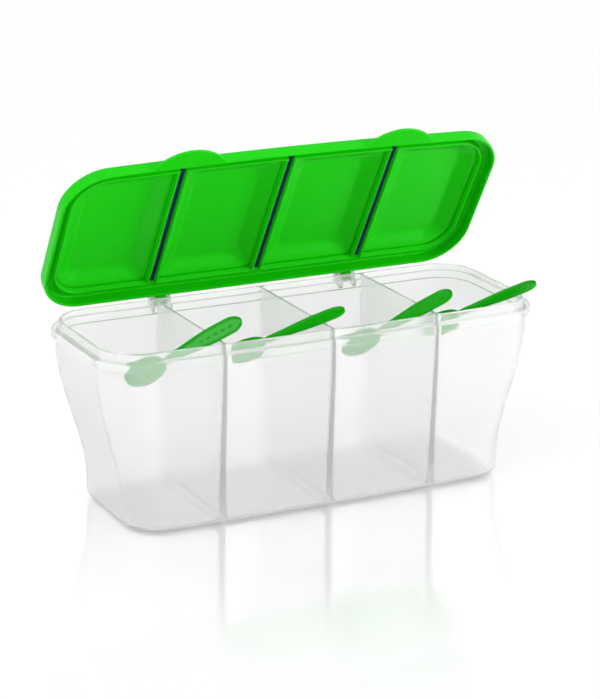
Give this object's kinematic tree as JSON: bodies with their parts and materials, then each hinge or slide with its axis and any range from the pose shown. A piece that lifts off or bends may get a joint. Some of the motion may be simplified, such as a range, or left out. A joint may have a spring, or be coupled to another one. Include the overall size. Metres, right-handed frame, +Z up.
{
  "type": "condiment caddy",
  "caption": "Translucent compartment tub for condiments with a hinged bright green lid, thumb tabs, seal strips over the dividers and a small spoon in every compartment.",
  "frame": {"origin": "middle of the tub's foot, halfway along the row of compartments and halfway across the rim before the front bows out, at the level of the surface it stands on", "axes": "+X along the row of compartments to the viewer's right, +Y towards the hinge at the back, +Z up"},
  "size_m": [0.2701, 0.108, 0.2001],
  "materials": {
    "frosted_plastic": "milky translucent moulding, smooth outside",
    "lid_plastic": "glossy bright green moulding",
    "pin_plastic": "smooth natural plastic",
    "seal": "soft dark navy strip",
    "spoon_plastic": "glossy green moulding"
  },
  "bodies": {
    "tub": {"tub": "frosted_plastic"},
    "hinge_pins": {"hinge_pin_left": "pin_plastic", "hinge_pin_right": "pin_plastic"},
    "lid": {"lid": "lid_plastic", "seal_strip_left": "seal", "seal_strip_middle": "seal", "seal_strip_right": "seal"},
    "spoon_1": {"spoon_1": "spoon_plastic"},
    "spoon_2": {"spoon_2": "spoon_plastic"},
    "spoon_3": {"spoon_3": "spoon_plastic"},
    "spoon_4": {"spoon_4": "spoon_plastic"}
  },
  "joints": [
    {"name": "lid_close", "type": "hinge", "parent": "tub", "child": "hinge_pins", "pos_m": [0, 0.0526, 0.101], "axis": [-1, 0, 0], "range_deg": [-60, 0]},
    {"name": "lid_open", "type": "hinge", "parent": "hinge_pins", "child": "lid", "pos_m": [0, 0.0526, 0.101], "axis": [-1, 0, 0], "range_deg": [0, 40]},
    {"name": "spoon_1_stow", "type": "hinge", "parent": "tub", "child": "spoon_1", "pos_m": [-0.05233, -0.04098, 0.07018], "axis": [0.1392, 0.9903, 0], "range_deg": [-48, 0]},
    {"name": "spoon_2_stow", "type": "hinge", "parent": "tub", "child": "spoon_2", "pos_m": [0.01251, -0.03661, 0.06671], "axis": [0.2079, 0.9781, 0], "range_deg": [-48, 0]},
    {"name": "spoon_3_stow", "type": "hinge", "parent": "tub", "child": "spoon_3", "pos_m": [0.07745, -0.04124, 0.06986], "axis": [0.225, 0.9744, 0], "range_deg": [-48, 0]},
    {"name": "spoon_4_stow", "type": "hinge", "parent": "tub", "child": "spoon_4", "pos_m": [0.13616, -0.03583, 0.06641], "axis": [0.4226, 0.9063, 0], "range_deg": [-48, 0]}
  ],
  "couplings": [
    {"joint": "spoon_1_stow", "follows": "lid_close", "ratio": 0.8},
    {"joint": "spoon_2_stow", "follows": "lid_close", "ratio": 0.8},
    {"joint": "spoon_3_stow", "follows": "lid_close", "ratio": 0.8},
    {"joint": "spoon_4_stow", "follows": "lid_close", "ratio": 0.8}
  ]
}
